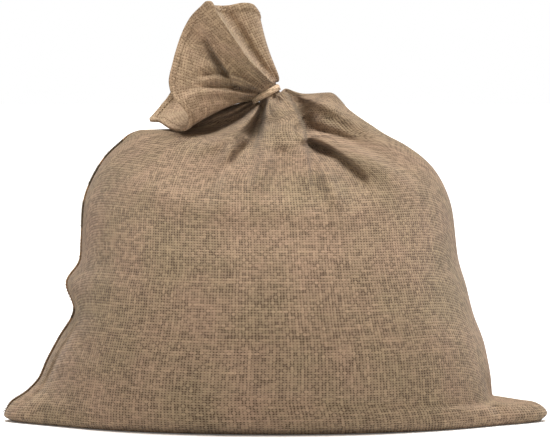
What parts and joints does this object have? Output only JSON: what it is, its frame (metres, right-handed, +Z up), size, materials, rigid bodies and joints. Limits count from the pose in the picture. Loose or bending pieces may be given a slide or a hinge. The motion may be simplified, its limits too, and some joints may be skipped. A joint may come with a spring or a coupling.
{
  "type": "burlap sack",
  "caption": "Filled burlap sack standing on its base, corners spread as ears, mouth gathered under a narrow tie and the open ruffle flopped to one side",
  "frame": {"origin": "middle of the footprint, on the floor plane: bottom centre of the bounding box", "axes": "+Z up, +X to the viewer's right along the row of ears, -Y towards the viewer"},
  "size_m": [0.569, 0.3409, 0.4391],
  "materials": {
    "burlap": "loose plain-weave natural jute, matt and slightly hairy",
    "tie_cloth": "pale natural jute strip, matt"
  },
  "bodies": {
    "root": {"sack": "burlap", "tie": "tie_cloth"}
  },
  "joints": []
}
